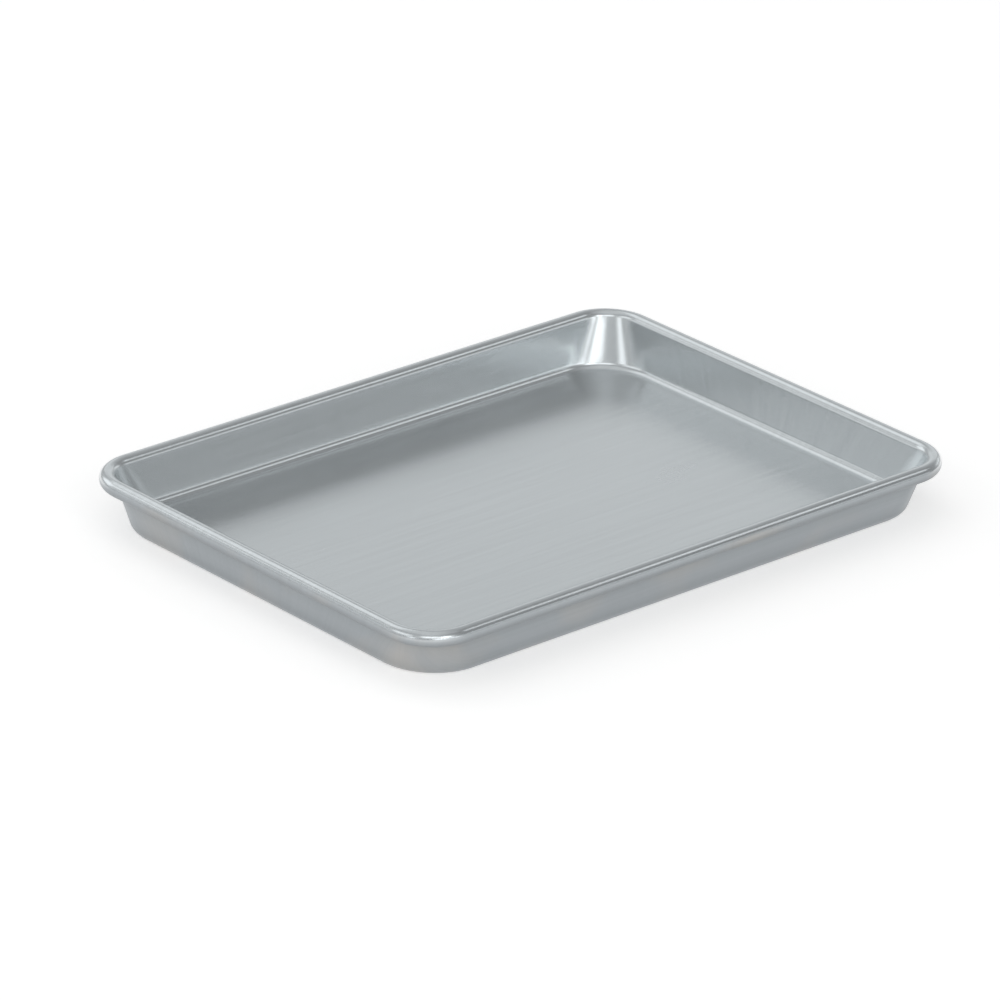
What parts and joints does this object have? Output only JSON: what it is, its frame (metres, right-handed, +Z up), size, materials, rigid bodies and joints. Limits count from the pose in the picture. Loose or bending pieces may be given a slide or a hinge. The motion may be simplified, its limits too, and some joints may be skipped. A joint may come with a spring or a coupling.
{
  "type": "sheet pan",
  "caption": "Rectangular aluminium sheet pan with a flat floor, low leaning walls, rounded corners and a rim rolled round a steel wire.",
  "frame": {"origin": "centre of the underside, on the surface that the pan stands on", "axes": "+X along the long side, +Y along the short side, +Z up out of the open tray"},
  "size_m": [0.33, 0.241, 0.027],
  "materials": {
    "drawn_aluminium": "natural satin mill finish, slightly dulled, brighter where the sheet is bent and rolled",
    "rim_steel": "galvanised drawn wire, matt grey"
  },
  "bodies": {
    "root": {"pan_shell": "drawn_aluminium", "rim_wire": "rim_steel"}
  },
  "joints": []
}
